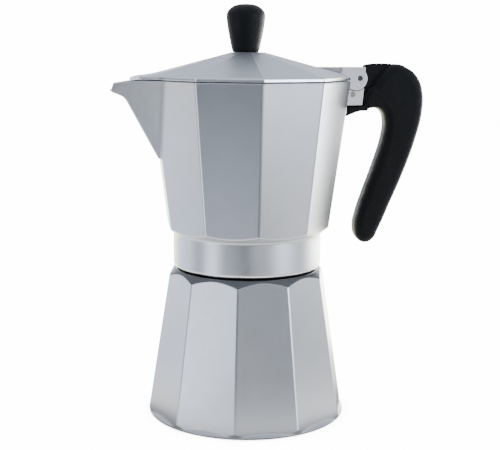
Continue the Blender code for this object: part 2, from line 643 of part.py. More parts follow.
# ---- assembly ---------------------------------------------------------------------------------
def build():
    place = valve_frame()
    valve_hole = turned("valve_hole", [(0, 10), (VALVE_SHANK_R + GAP, 10), (VALVE_SHANK_R + GAP, -12),
                                       (0, -12)], steps=TURN_SMALL)
    valve_hole.matrix_world = place
    boiler = make_boiler(valve_hole)
    valve_body, valve_washer, valve_cap, valve_stem, valve_spring = make_valve(place)
    sieve, upper = make_filters()
    collector = make_collector()
    lid = make_lid()
    knob, insert, washer, screw = make_knob()
    carrier("boiler_frame", (0, 0, 0), boiler, valve_body, valve_washer, valve_cap, valve_spring,
            make_funnel(), sieve)
    carrier("rise_axis", (0, 0, SEAT_Z), upper, make_gasket())
    carrier("turn_axis", (0, 0, RIM_Z), collector, make_column(), make_handle(),
            make_pin("hinge_pin", HINGE, 5.9), make_pin("handle_pin", KEEPER, 5.7))
    carrier("lid_axis", (HINGE[0], 0, HINGE[1]), lid, knob, insert, washer, screw)
    carrier("valve_axis", place.translation / MM, valve_stem)


build()
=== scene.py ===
"""Looks of the stove-top moka pot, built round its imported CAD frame.

Lengths are in millimetres and are scaled by MM when a mesh is made, so the scene is in metres.
The castings are polar skins: each one is a list of rows, and a row gives a radius and a height
for every direction in a fan of angles round the pot's axis. The handle is at 0 degrees.
"""
import math

import bpy
import numpy as np
from mathutils import Matrix, Vector


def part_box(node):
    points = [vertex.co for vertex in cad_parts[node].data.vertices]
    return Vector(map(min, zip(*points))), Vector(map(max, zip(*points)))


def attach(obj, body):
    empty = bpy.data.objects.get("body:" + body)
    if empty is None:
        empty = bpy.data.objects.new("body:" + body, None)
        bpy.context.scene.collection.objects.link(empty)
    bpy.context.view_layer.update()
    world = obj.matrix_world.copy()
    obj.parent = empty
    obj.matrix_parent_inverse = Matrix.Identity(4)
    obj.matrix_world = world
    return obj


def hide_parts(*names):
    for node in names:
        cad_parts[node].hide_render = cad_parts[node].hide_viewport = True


MM = 0.001
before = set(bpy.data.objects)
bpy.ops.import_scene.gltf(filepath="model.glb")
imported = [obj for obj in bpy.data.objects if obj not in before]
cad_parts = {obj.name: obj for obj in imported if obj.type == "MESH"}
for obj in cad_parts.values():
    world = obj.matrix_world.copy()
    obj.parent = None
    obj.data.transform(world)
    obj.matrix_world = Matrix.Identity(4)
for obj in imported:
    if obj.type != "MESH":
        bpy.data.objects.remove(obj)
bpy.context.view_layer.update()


def node_box(name):
    low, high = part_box(name)
    return low / MM, high / MM


# ---- driving dimensions ------------------------------------------------------------------------
SIDES = 10
HALF_SIDE = math.radians(18)
FLAT = math.cos(HALF_SIDE)
EDGE_ROUND = 2.4                       # radius of the rounded edges between the flats
TOP_Z = node_box("knob")[1].z

BOILER_TWIST = math.radians(-13.65)
BOILER_FOOT_R, BOILER_TOP_R, BOILER_TOP_Z = 53.3, 41.7, 74.7
SHOULDER_R, SHOULDER_Z = 38.4, 78.1
NECK_TOP_Z = node_box("boiler")[1].z
NECK_BORE_R = 30.2
# The round foot and the turning that cuts the corners down to it: (height, radius)
FOOT_TURNING = [(0.0, 51.8), (0.4, 52.2), (1.2, 52.2), (1.8, 51.2), (2.8, 50.0), (3.4, 49.0)]
FOOT_TRIM = [(0.6, 51.9), (0.9, 51.9), (14.0, 60.0)]
FOOT_BAND_Z = 1.2                      # up to here the foot is round, without any flats
FOOT_LEVELS = [0.0, 0.12, 0.35, 0.6, 0.9, 1.1, 1.25, 1.35, 1.45, 1.6, 1.8, 2.0, 2.2, 2.4, 2.7, 3.0, 3.4,
               4.0, 4.6, 5.4]
BOILER_WALL = 3.05
# From the shoulder rows on, the boiler takes turned aluminium darkened as painted shade under the collar.
SHOULDER_ROWS = 20                     # rows of the turned shoulder and neck, just under the thread

RIM_Z = node_box("collector")[1].z
COLLECTOR_FOOT_R, COLLECTOR_FOOT_Z, RIM_R = 43.4, 100.8, 53.3
COLLECTOR_WALL = 2.6
COLLAR_R, COLLAR_TOP_Z = 38.9, 97.2
COLLAR_FOOT_Z = node_box("collector")[0].z
SEAT_Z, FLOOR_Z = 100.3, 103.2
PITCH, THREAD_START_Z, THREAD_TURNS = 3.0, 83.6, 3
MALE_ROOT_R, MALE_CREST_R = 33.6, 34.6
FEMALE_ROOT_R, FEMALE_CREST_R = 34.95, 33.95

LID_Z = node_box("lid")[0].z + 5.69
LID_BAND_Z, LID_TOP_Z, LID_TOP_R = 178.4, 190.3, 8.2
LID_SLOPE = (LID_TOP_Z - LID_BAND_Z) / (RIM_R * FLAT - LID_TOP_R)
LID_SHELL = 2.3
EDGE_LEAN = 0.16                       # the lid's edge band leans in a little at its top
KNOB_X = -1.4                          # the knob stands slightly off the axis, towards the spout
KNOB_POCKET_R, KNOB_POCKET_TOP_Z = 3.5, 204

SPOUT_RIM, SPOUT_ROOT, SPOUT_LIP = (-44.7, -24.7, RIM_Z), (-46.1, -14.98, 139.3), (-69.8, -2.1, 169.6)
SPOUT_CREASE, SPOUT_TIP = (-61.8, -10.4, RIM_Z), (-70.1, -0.8, 175.9)
SPOUT_FRONT = [(136.4, -47.2), (165.9, -63.2), (167.6, -64.8), (168.7, -67.3), (169.7, -70.2),
               (171.0, -71.6), (176.2, -70.0)]                          # (height, x)
SPOUT_CHANNEL = [(136.4, -44.0), (142.4, -47.0), (165.6, -59.6), (169.0, -62.0), (171.0, -66.5),
                 (174.6, -90.0), (180.0, -126.0)]
SPOUT_WALL = 2.4
LIP_NOTCH, LIP_DIP = 3.0, 1.9
SPOUT_FROM_Z, CHANNEL_FROM_Z = 136.5, 138    # lowest heights of the spout and of the channel in it
RIM_BEND_Z = 164.0                     # rows above this height follow the dip of the rim
SPOUT_SIDE = -0.45                     # cosine of the directions that can meet the spout
MISSES = 400.0                         # radius given to a ray that doesn't meet a plane

HINGE, KEEPER, EAR_CENTRE = (58.0, 177.3), (54.2, 169.0), (55.9, 177.0)    # (x, z)
EAR_R, EAR_TOP_Z, PIN_R = 6.0, 183.0, 1.25
LUG_HALF, TONGUE_HALF, BLOCK_HALF, GRIP_HALF, GRIP_ROUND = 6.0, 2.9, 4.3, 7.0, 4.6


# ---- materials ---------------------------------------------------------------------------------
class Shader:
    """A Principled material and short calls for the nodes that feed it."""

    def __init__(self, name, roughness, metallic=0.0):
        self.material = bpy.data.materials.new(name)
        self.material.use_nodes = True
        self.nodes, self.links = self.material.node_tree.nodes, self.material.node_tree.links
        self.bsdf = self.nodes["Principled BSDF"]
        self.bsdf.inputs["Metallic"].default_value = metallic
        self.bsdf.inputs["Roughness"].default_value = roughness
        self.place = self.nodes.new("ShaderNodeTexCoord").outputs["Object"]

    def noise(self, scale, detail=2.0, stretch=(1, 1, 1)):
        mapping = self.nodes.new("ShaderNodeMapping")
        mapping.inputs["Scale"].default_value = stretch
        self.links.new(self.place, mapping.inputs["Vector"])
        noise = self.nodes.new("ShaderNodeTexNoise")
        noise.inputs["Scale"].default_value = scale
        noise.inputs["Detail"].default_value = detail
        self.links.new(mapping.outputs["Vector"], noise.inputs["Vector"])
        return noise.outputs["Fac"]

    def span(self, value, low, high):
        remap = self.nodes.new("ShaderNodeMapRange")
        remap.inputs["From Min"].default_value = 0.3
        remap.inputs["From Max"].default_value = 0.7
        remap.inputs["To Min"].default_value = low
        remap.inputs["To Max"].default_value = high
        self.links.new(value, remap.inputs["Value"])
        return remap.outputs["Result"]

    def mix(self, factor, first, second):
        mix = self.nodes.new("ShaderNodeMix")
        mix.data_type = "RGBA"
        self.links.new(factor, mix.inputs["Factor"])
        for socket, colour in ((mix.inputs[6], first), (mix.inputs[7], second)):
            if isinstance(colour, tuple):
                socket.default_value = (*colour, 1.0)
            else:
                self.links.new(colour, socket)
        return mix.outputs[2]

    def bump(self, height, depth, strength=1.0):
        bump = self.nodes.new("ShaderNodeBump")
        bump.inputs["Strength"].default_value = strength
        bump.inputs["Distance"].default_value = depth * MM
        self.links.new(height, bump.inputs["Height"])
        self.links.new(bump.outputs["Normal"], self.bsdf.inputs["Normal"])

    def set(self, socket, value):
        self.links.new(value, self.bsdf.inputs[socket])
        return self


def cast_metal(name, dark, light, roughness=0.36, grain=0.003):
    """Satin anodised casting: a powdery grain over a faint mottle."""
    s = Shader(name, roughness, 1.0)
    mottle = s.mix(s.span(s.noise(90, 3), 0, 1), dark, light)
    speck = s.mix(s.span(s.noise(2200, 2), 0.3, 0.0), mottle, tuple(c * 0.9 for c in dark))
    s.set("Base Color", speck)
    s.set("Roughness", s.span(s.noise(400, 3), roughness - 0.015, roughness + 0.02))
    s.bump(s.noise(1500, 2), grain)
    return s.material


def turned_metal(name, dark, light, roughness=0.28, grain=0.003):
    """Turned metal: fine rings round the axis and soft wear."""
    s = Shader(name, roughness, 1.0)
    rings = s.noise(60, 3, (0.3, 0.3, 60))
    s.set("Base Color", s.mix(s.span(rings, 0, 1), dark, light))
    s.set("Roughness", s.span(s.noise(300, 3), roughness - 0.02, roughness + 0.03))
    s.bump(rings, grain)
    return s.material


def moulded_plastic(name, dark, light, roughness=0.55, gloss=0.17, sheen=0.0):
    """Matte phenolic plastic: a fine orange-peel skin with rubbed patches."""
    s = Shader(name, roughness)
    s.set("Base Color", s.mix(s.span(s.noise(90, 3), 0, 1), dark, light))
    s.set("Roughness", s.span(s.noise(260, 4), roughness - 0.04, roughness + 0.05))
    s.bump(s.noise(1500, 2), 0.008, 0.6)
    s.bsdf.inputs["Specular IOR Level"].default_value = gloss
    s.bsdf.inputs["Sheen Weight"].default_value = sheen
    s.bsdf.inputs["Sheen Roughness"].default_value = 0.4
    s.bsdf.inputs["Sheen Tint"].default_value = (1.0, 0.95, 0.88, 1.0)
    return s.material


CAST = cast_metal("cast_aluminium_satin", (0.55, 0.565, 0.59), (0.575, 0.59, 0.615), 0.30)
# Hinge ears and lug: the same satin casting made near-white as painted highlight, for the light they catch.
EAR_METAL_PAINTED_HIGHLIGHT = cast_metal("cast_aluminium_painted_highlight", (0.93, 0.93, 0.96), (0.96, 0.96, 0.99), 0.34)
LID_CAST = cast_metal("cast_aluminium_lid", (0.66, 0.675, 0.70), (0.69, 0.705, 0.73), 0.46)
# The lid's edge band: glossier than the lid, a real smoother finish, and with its base colour raised as
# painted highlight.
LID_EDGE_PAINTED_HIGHLIGHT = cast_metal("cast_aluminium_edge_painted_highlight", (0.80, 0.81, 0.83), (0.86, 0.87, 0.89), 0.22)
TURNED = turned_metal("turned_aluminium_rings", (0.59, 0.60, 0.62), (0.63, 0.64, 0.66), 0.36)
# Turned aluminium darkened as painted shade: the shadow under the collar on the boiler's shoulder and neck.
SHOULDER_PAINTED_SHADE = turned_metal("turned_aluminium_painted_shade", (0.11, 0.11, 0.115), (0.15, 0.15, 0.155), 0.34)
POLISHED = turned_metal("turned_aluminium_bright", (0.80, 0.80, 0.81), (0.86, 0.86, 0.87), 0.16, 0.002)
PLASTIC = moulded_plastic("black_plastic_matte", (0.0016, 0.0018, 0.0022), (0.003, 0.0033, 0.0038),
                          sheen=0.12)
STEEL = turned_metal("steel_drawn", (0.42, 0.42, 0.43), (0.52, 0.52, 0.53), 0.3)
BLACKENED = turned_metal("steel_blackened", (0.07, 0.07, 0.075), (0.11, 0.11, 0.115), 0.4)
KEEPER_METAL = turned_metal("steel_drawn_warm", (0.34, 0.31, 0.27), (0.42, 0.39, 0.34), 0.4)
BRASS = turned_metal("brass_turned", (0.66, 0.46, 0.20), (0.76, 0.56, 0.28), 0.28)
RUBBER = moulded_plastic("rubber_pale", (0.62, 0.60, 0.54), (0.70, 0.68, 0.62), 0.62)
FIBRE = moulded_plastic("fibre_red", (0.36, 0.08, 0.05), (0.46, 0.12, 0.08), 0.75)


# ---- polar skins -------------------------------------------------------------------------------
def corner_directions(twist=0.0):
    """Directions of the ten corners, in degrees."""
    return [math.degrees(twist) + 18 + 36 * k for k in range(SIDES)]


def off_flat(turns, twist=0.0):
    """Angle of each direction from the middle of its flat."""
    return np.abs((turns - twist + HALF_SIDE) % (2 * HALF_SIDE) - HALF_SIDE)


def fan(corners, *dense):
    """Directions round the axis, crowded at the flats' corners and in the dense spans (degrees)."""
    turns = set(np.round(np.arange(0, 360, 3.0), 4))
    near = np.concatenate([np.arange(0, 2.6, 0.25), [3.2, 4.2, 5.5]])
    for corner in corners:
        turns.update(np.round((corner + np.concatenate([-near, near])) % 360, 4))
    for start, end, step in dense:
        turns.update(np.round(np.arange(start, end, step) % 360, 4))
    turns = sorted(turns)
    kept = [turns[0]] + [b for a, b in zip(turns, turns[1:]) if b - a > 0.06]
    return np.radians(np.array(kept))


def skin(name, turns, rows, materials, bands=(), ring=False):
    """A closed mesh through the rows; bands gives (first row, material index) from which a finish runs."""
    count = len(turns)
    places = np.concatenate([np.stack([r * np.cos(turns), r * np.sin(turns), z], 1) for r, z in rows])
    col = np.arange(count)
    after = (col + 1) % count
    faces, looks = [], []
    spans = list(zip(range(len(rows)), range(1, len(rows)))) + ([(len(rows) - 1, 0)] if ring else [])
    for low, high in spans:
        quads = np.stack([low * count + col, low * count + after,
                          high * count + after, high * count + col], 1)
        faces.extend(quads.tolist())
        look = max([(first, index) for first, index in bands if first <= low], default=(0, 0))[1]
        looks.extend([look] * count)
    if not ring:
        for row, order in ((0, col[::-1]), (len(rows) - 1, col)):
            centre = len(places)
            places = np.vstack([places, [0, 0, float(np.mean(rows[row][1]))]])
            following = np.roll(order, -1)
            faces.extend([[centre, row * count + int(a), row * count + int(b)]
                          for a, b in zip(order, following)])
            looks.extend([0 if row == 0 else looks[-1]] * count)
    mesh = bpy.data.meshes.new(name)
    mesh.from_pydata((places * MM).tolist(), [], faces)
    for material in materials:
        mesh.materials.append(material)
    mesh.polygons.foreach_set("material_index", looks)
    mesh.polygons.foreach_set("use_smooth", [True] * len(faces))
    mesh.validate()
    made = bpy.data.objects.new(name, mesh)
    bpy.context.scene.collection.objects.link(made)
    return made


def soft(first, second, width, sign):
    """Smooth least (sign -1) or greatest (sign 1) of two arrays."""
    gap = np.clip(np.abs(first - second) / width, 0, 1)
    blend = width * 0.25 * (1 - gap) ** 2
    return (np.minimum(first, second) - blend) if sign < 0 else (np.maximum(first, second) + blend)


def ten_sided(turns, flat, rounding=EDGE_ROUND, twist=0.0):
    """Radius of a ten-sided section with rounded edges, for a distance to its flats."""
    off = off_flat(turns, twist)
    flat = np.broadcast_to(np.asarray(flat, float), turns.shape)
    inner = flat - rounding
    reach = inner / FLAT
    from_corner = HALF_SIDE - off
    arc = reach * np.cos(from_corner) + np.sqrt(
        np.maximum(rounding ** 2 - (reach * np.sin(from_corner)) ** 2, 0))
    tangent = np.arctan(inner * math.tan(HALF_SIDE) / flat)
    return np.where(off > tangent, arc, flat / np.cos(off))


def crossing(first, second, low, high):
    """Height for each direction where first(z) passes second(z)."""
    low, high = np.array(low, float), np.array(high, float)
    for _ in range(40):
        mid = (low + high) / 2
        above = first(mid) > second(mid)
        low, high = np.where(above, mid, low), np.where(above, high, mid)
    return (low + high) / 2


def chain(points, rounds, steps=5, hold=0.25):
    """Rows along a chain of (radius, height) rows, each corner rounded by its own amount."""
    rows = [points[0]]
    for i in range(1, len(points) - 1):
        (ra, za), (rb, zb), (rc, zc) = points[i - 1], points[i], points[i + 1]
        back = np.hypot(ra - rb, za - zb) + 1e-9
        on = np.hypot(rc - rb, zc - zb) + 1e-9
        cut = np.minimum(rounds[i - 1], np.minimum(back, on) * 0.42)
        start = rb + (ra - rb) * cut / back, zb + (za - zb) * cut / back
        end = rb + (rc - rb) * cut / on, zb + (zc - zb) * cut / on
        wide = np.minimum(cut + hold, np.minimum(back, on) * 0.47)
        rows.append((rb + (ra - rb) * wide / back, zb + (za - zb) * wide / back))
        for t in np.linspace(0, 1, steps):
            a, b, c = (1 - t) ** 2, 2 * t * (1 - t), t ** 2
            rows.append((a * start[0] + b * rb + c * end[0], a * start[1] + b * zb + c * end[1]))
        rows.append((rb + (rc - rb) * wide / on, zb + (zc - zb) * wide / on))
    rows.append(points[-1])
    return rows


def level(turns, radius, height):
    return np.full(turns.shape, float(radius)), np.full(turns.shape, float(height))


def thread_rows(turns, root, crest, start, rising, step=0.2):
    """Rows over a helical ridge that fades in and out over a sixth of a turn."""
    rows = []
    end = start + PITCH * THREAD_TURNS
    for z in np.arange(start - 1.2, end + 1.2, step):
        along = (z - start) / PITCH - turns / math.tau
        turn = np.round(along)
        off = np.abs(along - turn) * PITCH
        height = np.clip((0.8 - off) / 0.42, 0, 1)
        travelled = turn + turns / math.tau
        fade = np.clip(np.minimum(travelled, THREAD_TURNS - travelled) * 6, 0, 1)
        rows.append((root + (crest - root) * height * fade, np.full(turns.shape, z)))
    return rows if rising else rows[::-1]


# ---- boiler ------------------------------------------------------------------------------------
def flat_at(foot_r, foot_z, top_r, top_z, z):
    return (foot_r + (top_r - foot_r) * (z - foot_z) / (top_z - foot_z)) * FLAT


def boiler_flat(z):
    return flat_at(BOILER_FOOT_R, 0, BOILER_TOP_R, BOILER_TOP_Z, z)


def make_boiler():
    turns = fan(corner_directions(BOILER_TWIST))
    heights, radii = zip(*FOOT_TURNING)
    trim_heights, trim_radii = zip(*FOOT_TRIM)
    rows = [level(turns, 8, 0)]
    for z in FOOT_LEVELS:
        round_foot = np.interp(z, heights, radii)
        if z > FOOT_BAND_Z:
            cast = soft(ten_sided(turns, boiler_flat(z), twist=BOILER_TWIST),
                        np.interp(z, trim_heights, trim_radii), 0.5, -1)
            rows.append((soft(cast, round_foot, 0.3, 1), np.full(turns.shape, z)))
        else:
            rows.append(level(turns, round_foot, z))
    slope = (BOILER_TOP_R - SHOULDER_R) / (SHOULDER_Z - BOILER_TOP_Z)
    top = crossing(lambda z: BOILER_TOP_R - (z - BOILER_TOP_Z) * slope,
                   lambda z: ten_sided(turns, boiler_flat(z), twist=BOILER_TWIST),
                   np.full(turns.shape, 70.0), np.full(turns.shape, SHOULDER_Z))
    side = [(ten_sided(turns, boiler_flat(z), twist=BOILER_TWIST), np.full(turns.shape, z))
            for z in (7.0, 20.0, 40.0, 60.0)]
    edge = (ten_sided(turns, boiler_flat(top), twist=BOILER_TWIST), top)
    rows += side[:-1]
    outer = chain([side[-1], edge, level(turns, SHOULDER_R, SHOULDER_Z),
                   level(turns, MALE_ROOT_R, SHOULDER_Z), level(turns, MALE_ROOT_R, 82.0)], (0.8, 0.4, 0.5))
    rows += outer
    # Rows from here on take the darkened turned aluminium, which is painted shade.
    painted_shade_from = len(rows) - SHOULDER_ROWS
    rows += thread_rows(turns, MALE_ROOT_R, MALE_CREST_R, THREAD_START_Z, True)
    rows += chain([level(turns, MALE_ROOT_R, 94.2), level(turns, MALE_ROOT_R, NECK_TOP_Z - 0.8),
                   level(turns, MALE_ROOT_R - 0.8, NECK_TOP_Z), level(turns, NECK_BORE_R, NECK_TOP_Z),
                   level(turns, NECK_BORE_R, 80.5), level(turns, boiler_flat(73.5) - BOILER_WALL, 73.5),
                   level(turns, boiler_flat(6) - BOILER_WALL, 6.5), level(turns, 44.5, 3.0),
                   level(turns, 8, 3.0)], (0.2, 0.2, 0.3, 1.0, 2.0, 1.5, 1.5))
    boiler = skin("boiler_casting", turns, rows, (CAST, SHOULDER_PAINTED_SHADE), [(0, 0), (painted_shade_from, 1)])
    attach(boiler, "boiler")
    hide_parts("boiler")
    return boiler


# ---- collector with its spout ------------------------------------------------------------------
def plane(a, b, c, towards):
    """(unit normal, distance from the origin) of the plane through three points, facing away from a point."""
    a, b, c = (np.array(p, float) for p in (a, b, c))
    normal = np.cross(b - a, c - a)
    normal /= np.linalg.norm(normal)
    if normal @ (np.array(towards) - a) > 0:
        normal = -normal
    return normal, float(normal @ a)


def flipped(point):
    return point[0], -point[1], point[2]


def to_plane(turns, z, surface, inward=0.0):
    """Radius at which a ray from the axis at height z meets a plane."""
    normal, distance = surface
    facing = normal[0] * np.cos(turns) + normal[1] * np.sin(turns)
    radius = (distance - inward - normal[2] * z) / np.where(facing > 0.02, facing, 1)
    return np.where(facing > 0.02, radius, MISSES)


INSIDE = (-45.0, 0.0, 165.0)
SPOUT_SIDES = [plane(f(SPOUT_RIM), f(SPOUT_ROOT), f(SPOUT_LIP), INSIDE) for f in (tuple, flipped)]
LIP_SIDES = [plane(f(SPOUT_CREASE), f(SPOUT_LIP), f(SPOUT_TIP), INSIDE) for f in (tuple, flipped)]


def prow(turns, z, front, inward=0.0, narrowed=True, rounding=1.0):
    """Radius of the spout: its front outline cut by its sides and by the narrowed lip."""
    heights, reaches = zip(*front)
    x = np.interp(z, heights, reaches)
    facing = -np.cos(turns)
    radius = np.where(facing > 0.05, -x / np.where(facing > 0.05, facing, 1), MISSES)
    for surface in SPOUT_SIDES:
        radius = soft(radius, to_plane(turns, z, surface, inward), rounding, -1)
    if narrowed:
        for surface in LIP_SIDES:
            radius = soft(radius, to_plane(turns, z, surface, inward), 0.8, -1)
    return np.where(np.cos(turns) < SPOUT_SIDE, radius, 0.0)


def collector_flat(z):
    return flat_at(COLLECTOR_FOOT_R, COLLECTOR_FOOT_Z, RIM_R, RIM_Z, z)


def collector_outside(turns, z):
    body = ten_sided(turns, collector_flat(z))
    spout = prow(turns, z, SPOUT_FRONT)
    spout = np.where(np.asarray(z) > SPOUT_FROM_Z, spout, 0)
    return soft(body, spout, 0.6, 1)


def collector_inside(turns, z):
    body = ten_sided(turns, collector_flat(z) - COLLECTOR_WALL, 3.0)
    trough = prow(turns, z, SPOUT_CHANNEL, SPOUT_WALL, False, 1.5)
    trough = np.where(np.asarray(z) > CHANNEL_FROM_Z, trough, 0)
    return soft(body, trough, 1.5, 1)


def lip_dip(turns):
    """How far the rim sinks towards the tip of the spout."""
    off = np.abs((turns - math.pi + math.pi) % math.tau - math.pi)
    return LIP_DIP * np.clip(1 - off / math.radians(17), 0, 1) ** 1.3


def bent(turns, z, rim):
    """Height of a row at each direction: the top rows sink with the rim."""
    if z < RIM_BEND_Z:
        return np.full(turns.shape, z)
    return RIM_BEND_Z + (z - RIM_BEND_Z) * (rim - RIM_BEND_Z) / (RIM_Z - RIM_BEND_Z)


def make_collector():
    turns = fan(corner_directions(), (150, 210, 0.4), (176, 184, 0.12))
    across = 70.5 * np.sin(turns)
    near = np.clip(1.9 - np.abs(across), 0, 1)
    notch = np.where(np.cos(turns) < 0, near ** 2 * (3 - 2 * near), 0)
    rim = RIM_Z - LIP_NOTCH * notch - lip_dip(turns)
    cone = (126.1 - COLLAR_TOP_Z) / (80 - COLLAR_R)
    foot = crossing(lambda z: ten_sided(turns, collector_flat(z)),
                    lambda z: COLLAR_R + (z - COLLAR_TOP_Z) / cone,
                    np.full(turns.shape, COLLAR_TOP_Z), np.full(turns.shape, 104.0))
    edge = (ten_sided(turns, collector_flat(foot)), foot)
    rows = chain([level(turns, FEMALE_ROOT_R, 82.0), level(turns, FEMALE_ROOT_R, COLLAR_FOOT_Z),
                  level(turns, COLLAR_R - 2.2, COLLAR_FOOT_Z),
                  level(turns, COLLAR_R - 1.1, COLLAR_FOOT_Z + 0.45),
                  level(turns, COLLAR_R - 0.35, COLLAR_FOOT_Z + 1.2),
                  level(turns, COLLAR_R, COLLAR_FOOT_Z + 2.2),
                  level(turns, COLLAR_R, COLLAR_TOP_Z), edge,
                  (ten_sided(turns, collector_flat(112.0)), np.full(turns.shape, 112.0))],
                 (0.3, 0.5, 0.5, 0.5, 0.5, 1.3, 0.9))
    bright_from, collar_from, cast_from = 8, 30, 46      # rows at which the finish changes
    for z in (125.0, 134.0):
        rows.append((collector_outside(turns, z), np.full(turns.shape, z)))
    levels = np.concatenate([np.arange(136.0, 142.0, 0.5), np.arange(142.0, 164.0, 0.7),
                             np.arange(164.0, RIM_Z - 0.4, 0.3)])
    for z in levels:
        at = bent(turns, z, rim)
        rows.append((collector_outside(turns, at), at))
    top_out, top_in = collector_outside(turns, rim), collector_inside(turns, rim)
    top_in = np.minimum(top_in, top_out - 0.5)
    for inset, drop in ((0.0, 0.35), (0.1, 0.12), (0.35, 0.0)):
        rows.append((top_out - inset, rim - drop))
    for inset, drop in ((0.3, 0.0), (0.08, 0.12), (0.0, 0.35)):
        rows.append((top_in + inset, rim - drop))
    for z in np.concatenate([np.arange(RIM_Z - 0.8, 164.0, -0.4), np.arange(163.5, 138.0, -2.0),
                             [137, 130, 115]]):
        at = bent(turns, z, rim)
        inner = np.minimum(collector_inside(turns, at), collector_outside(turns, at) - 0.5)
        rows.append((inner, at))
    rows += chain([(collector_inside(turns, 108.0), np.full(turns.shape, 108.0)),
                   (collector_inside(turns, FLOOR_Z + 3.0), np.full(turns.shape, FLOOR_Z + 3.0)),
                   (collector_inside(turns, FLOOR_Z) - 3.0, np.full(turns.shape, FLOOR_Z)),
                   level(turns, 27, FLOOR_Z), level(turns, 9.6, 109.6), level(turns, 8.9, 112),
                   level(turns, 6.7, 112), level(turns, 6.7, 106.2), level(turns, 25.5, SEAT_Z + 1.3),
                   level(turns, 29.8, SEAT_Z + 1.1), level(turns, 29.8, SEAT_Z),
                   level(turns, FEMALE_CREST_R, SEAT_Z), level(turns, FEMALE_CREST_R, 96.4),
                   level(turns, FEMALE_ROOT_R, 95.4), level(turns, FEMALE_ROOT_R, 94.0)],
                  (1.5, 1.5, 2.0, 0.8, 0.2, 0.2, 0.2, 0.5, 0.1, 0.1, 0.2, 0.2, 0.2), steps=4)
    rows += thread_rows(turns, FEMALE_ROOT_R, FEMALE_CREST_R, THREAD_START_Z - PITCH / 2, False)
    collector = skin("collector_casting", turns, rows, (CAST, TURNED, POLISHED),
                     [(0, 1), (bright_from, 2), (collar_from, 1), (cast_from, 0)], ring=True)
    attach(collector, "collector")
    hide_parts("collector")
    return collector


# ---- lid ---------------------------------------------------------------------------------------
BEAK_NOSE = [plane(f((-56.5, -15.0, LID_Z)), f((-61.5, 0.0, LID_Z)), f((-61.3, 0.0, LID_Z + 5)),
                   (-40, 0, 178))
             for f in (tuple, flipped)]
BEAK_ROOF = [plane((-44, 0, 180.3), (-61.4, 0, 178.7), f((-56.5, -15.0, 178.2)), (-40, 0, 170))
             for f in (tuple, flipped)]


def lid_outline(turns, z, inward=0.0):
    body = ten_sided(turns, RIM_R * FLAT - inward, EDGE_ROUND)
    beak = np.full(turns.shape, MISSES)
    for surface in SPOUT_SIDES:
        beak = soft(beak, to_plane(turns, z, surface, inward), 0.8, -1)
    for surface in BEAK_NOSE:
        beak = soft(beak, to_plane(turns, z, surface, inward), 0.8, -1)
    return soft(body, np.where(np.cos(turns) < SPOUT_SIDE, beak, 0.0), 1.2, 1)


def over_plane(x, y, surface):
    normal, distance = surface
    return (distance - normal[0] * x - normal[1] * y) / normal[2]


def lid_height(turns, radius):
    """Height of the lid's top: ten slopes with soft ridges, and the beak's two-sided roof."""
    x, y = radius * np.cos(turns), radius * np.sin(turns)
    off = off_flat(turns)
    reach = radius * np.cos(off)
    ridge = radius * np.sin(HALF_SIDE - off)
    soften = 1.0 * np.clip(1 - ridge / 1.6, 0, 1) ** 2 * 0.25
    slopes = LID_TOP_Z - LID_SLOPE * (reach - soften - LID_TOP_R)
    roof = soft(over_plane(x, y, BEAK_ROOF[0]), over_plane(x, y, BEAK_ROOF[1]), 0.5, -1)
    for surface in SPOUT_SIDES:
        if abs(surface[0][2]) > 1e-6:
            wall = (surface[1] - surface[0][0] * x - surface[0][1] * y
                    - surface[0][2] * LID_BAND_Z) * 3 + LID_BAND_Z
            roof = soft(roof, wall, 0.6, -1)
    roof = np.where(x < -30, roof, 0)
    return np.minimum(soft(slopes, roof, 0.7, 1), LID_TOP_Z)


def make_lid():
    turns = fan(corner_directions(), (144, 216, 0.5))
    rows = []
    edge = lid_outline(turns, np.full(turns.shape, LID_BAND_Z))
    foot = lid_outline(turns, np.full(turns.shape, LID_Z))
    dip = lip_dip(turns) * 0.8
    for part in np.concatenate([[0.12, 0.16], np.linspace(0.2, 0.7, 10), np.linspace(0.72, 0.975, 50)]):
        radius = edge * part
        rows.append((radius, lid_height(turns, radius) - dip * 0.8 * np.clip(part * 4 - 3, 0, 1)))
    brow = (edge - EDGE_LEAN, lid_height(turns, edge) - dip * 0.8)
    # Rows of the edge band, which takes the brightened aluminium as painted highlight.
    edge_highlight_from, edge_highlight_to = len(rows) + 3, len(rows) + 14
    rows += chain([rows[-1], brow, (foot, LID_Z - dip),
                   (foot - 3.2, LID_Z - dip),
                   (ten_sided(turns, (RIM_R - 3.2) * FLAT),
                    np.full(turns.shape, LID_BAND_Z - LID_SHELL + 1.2)),
                   (ten_sided(turns, LID_TOP_R + 1), np.full(turns.shape, LID_TOP_Z - LID_SHELL - 0.3)),
                   level(turns, 2.2, LID_TOP_Z - LID_SHELL)], (0.45, 0.3, 0.3, 0.3, 0.6), steps=6)[1:]
    lid = skin("lid_casting", turns, rows, (LID_CAST, LID_EDGE_PAINTED_HIGHLIGHT), [(0, 0), (edge_highlight_from, 1), (edge_highlight_to, 0)])
    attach(lid, "lid")
    return lid


# ---- pieces cut from plate: hinge, lug, handle --------------------------------------------------
def arc(centre, radius, start, end, steps):
    turns = [math.radians(start + (end - start) * i / steps) for i in range(steps + 1)]
    return [(centre[0] + radius * math.cos(a), centre[1] + radius * math.sin(a)) for a in turns]


